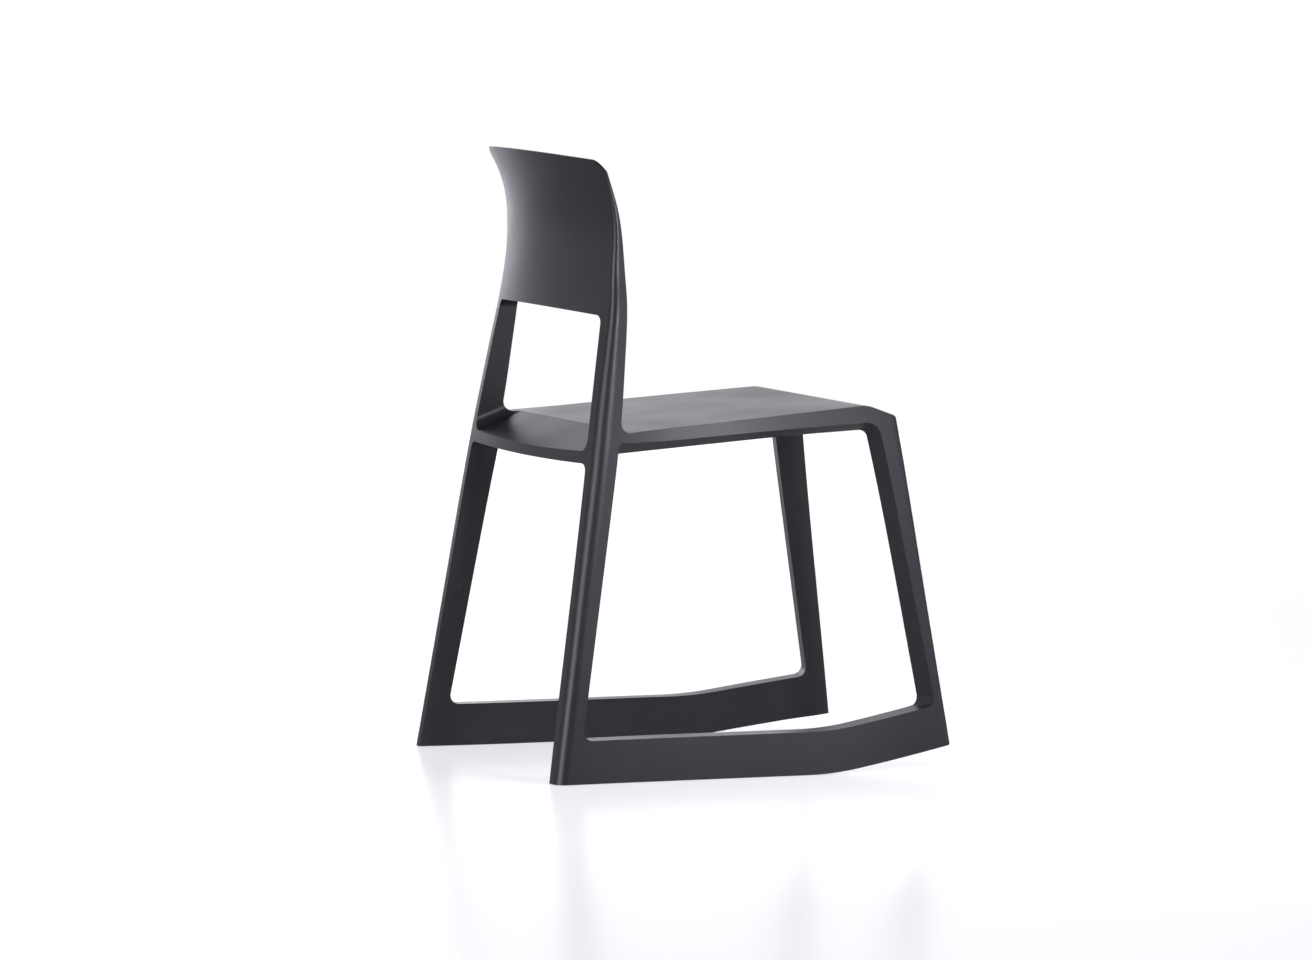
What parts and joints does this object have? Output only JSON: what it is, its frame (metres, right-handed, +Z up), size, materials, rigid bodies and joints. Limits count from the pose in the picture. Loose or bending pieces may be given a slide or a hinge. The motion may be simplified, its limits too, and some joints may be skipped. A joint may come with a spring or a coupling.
{
  "type": "rocking chair",
  "caption": "Moulded plastic rocking chair with a flared backrest, closed side frames and runners with an upturned front flat.",
  "frame": {"origin": "middle of the chair's footprint, on the floor under the middle of its bounding box", "axes": "+Z up, the sitter faces -Y, +X is the sitter's left"},
  "size_m": [0.5076, 0.5602, 0.7892],
  "materials": {
    "frame_plastic": "fine-grained charcoal polypropylene",
    "panel_plastic": "satin, fine-grained charcoal polypropylene",
    "glide_plastic": "smooth black polyethylene"
  },
  "bodies": {
    "root": {"left_side_shell": "frame_plastic", "right_side_shell": "frame_plastic", "left_inner_cover": "frame_plastic", "right_inner_cover": "frame_plastic", "seat_pan": "frame_plastic", "seat_top": "panel_plastic", "backrest_shell": "panel_plastic", "backrest_front": "panel_plastic", "left_heel_glide": "glide_plastic", "left_rear_glide": "glide_plastic", "left_front_glide": "glide_plastic", "left_toe_glide": "glide_plastic", "right_heel_glide": "glide_plastic", "right_rear_glide": "glide_plastic", "right_front_glide": "glide_plastic", "right_toe_glide": "glide_plastic"}
  },
  "joints": []
}
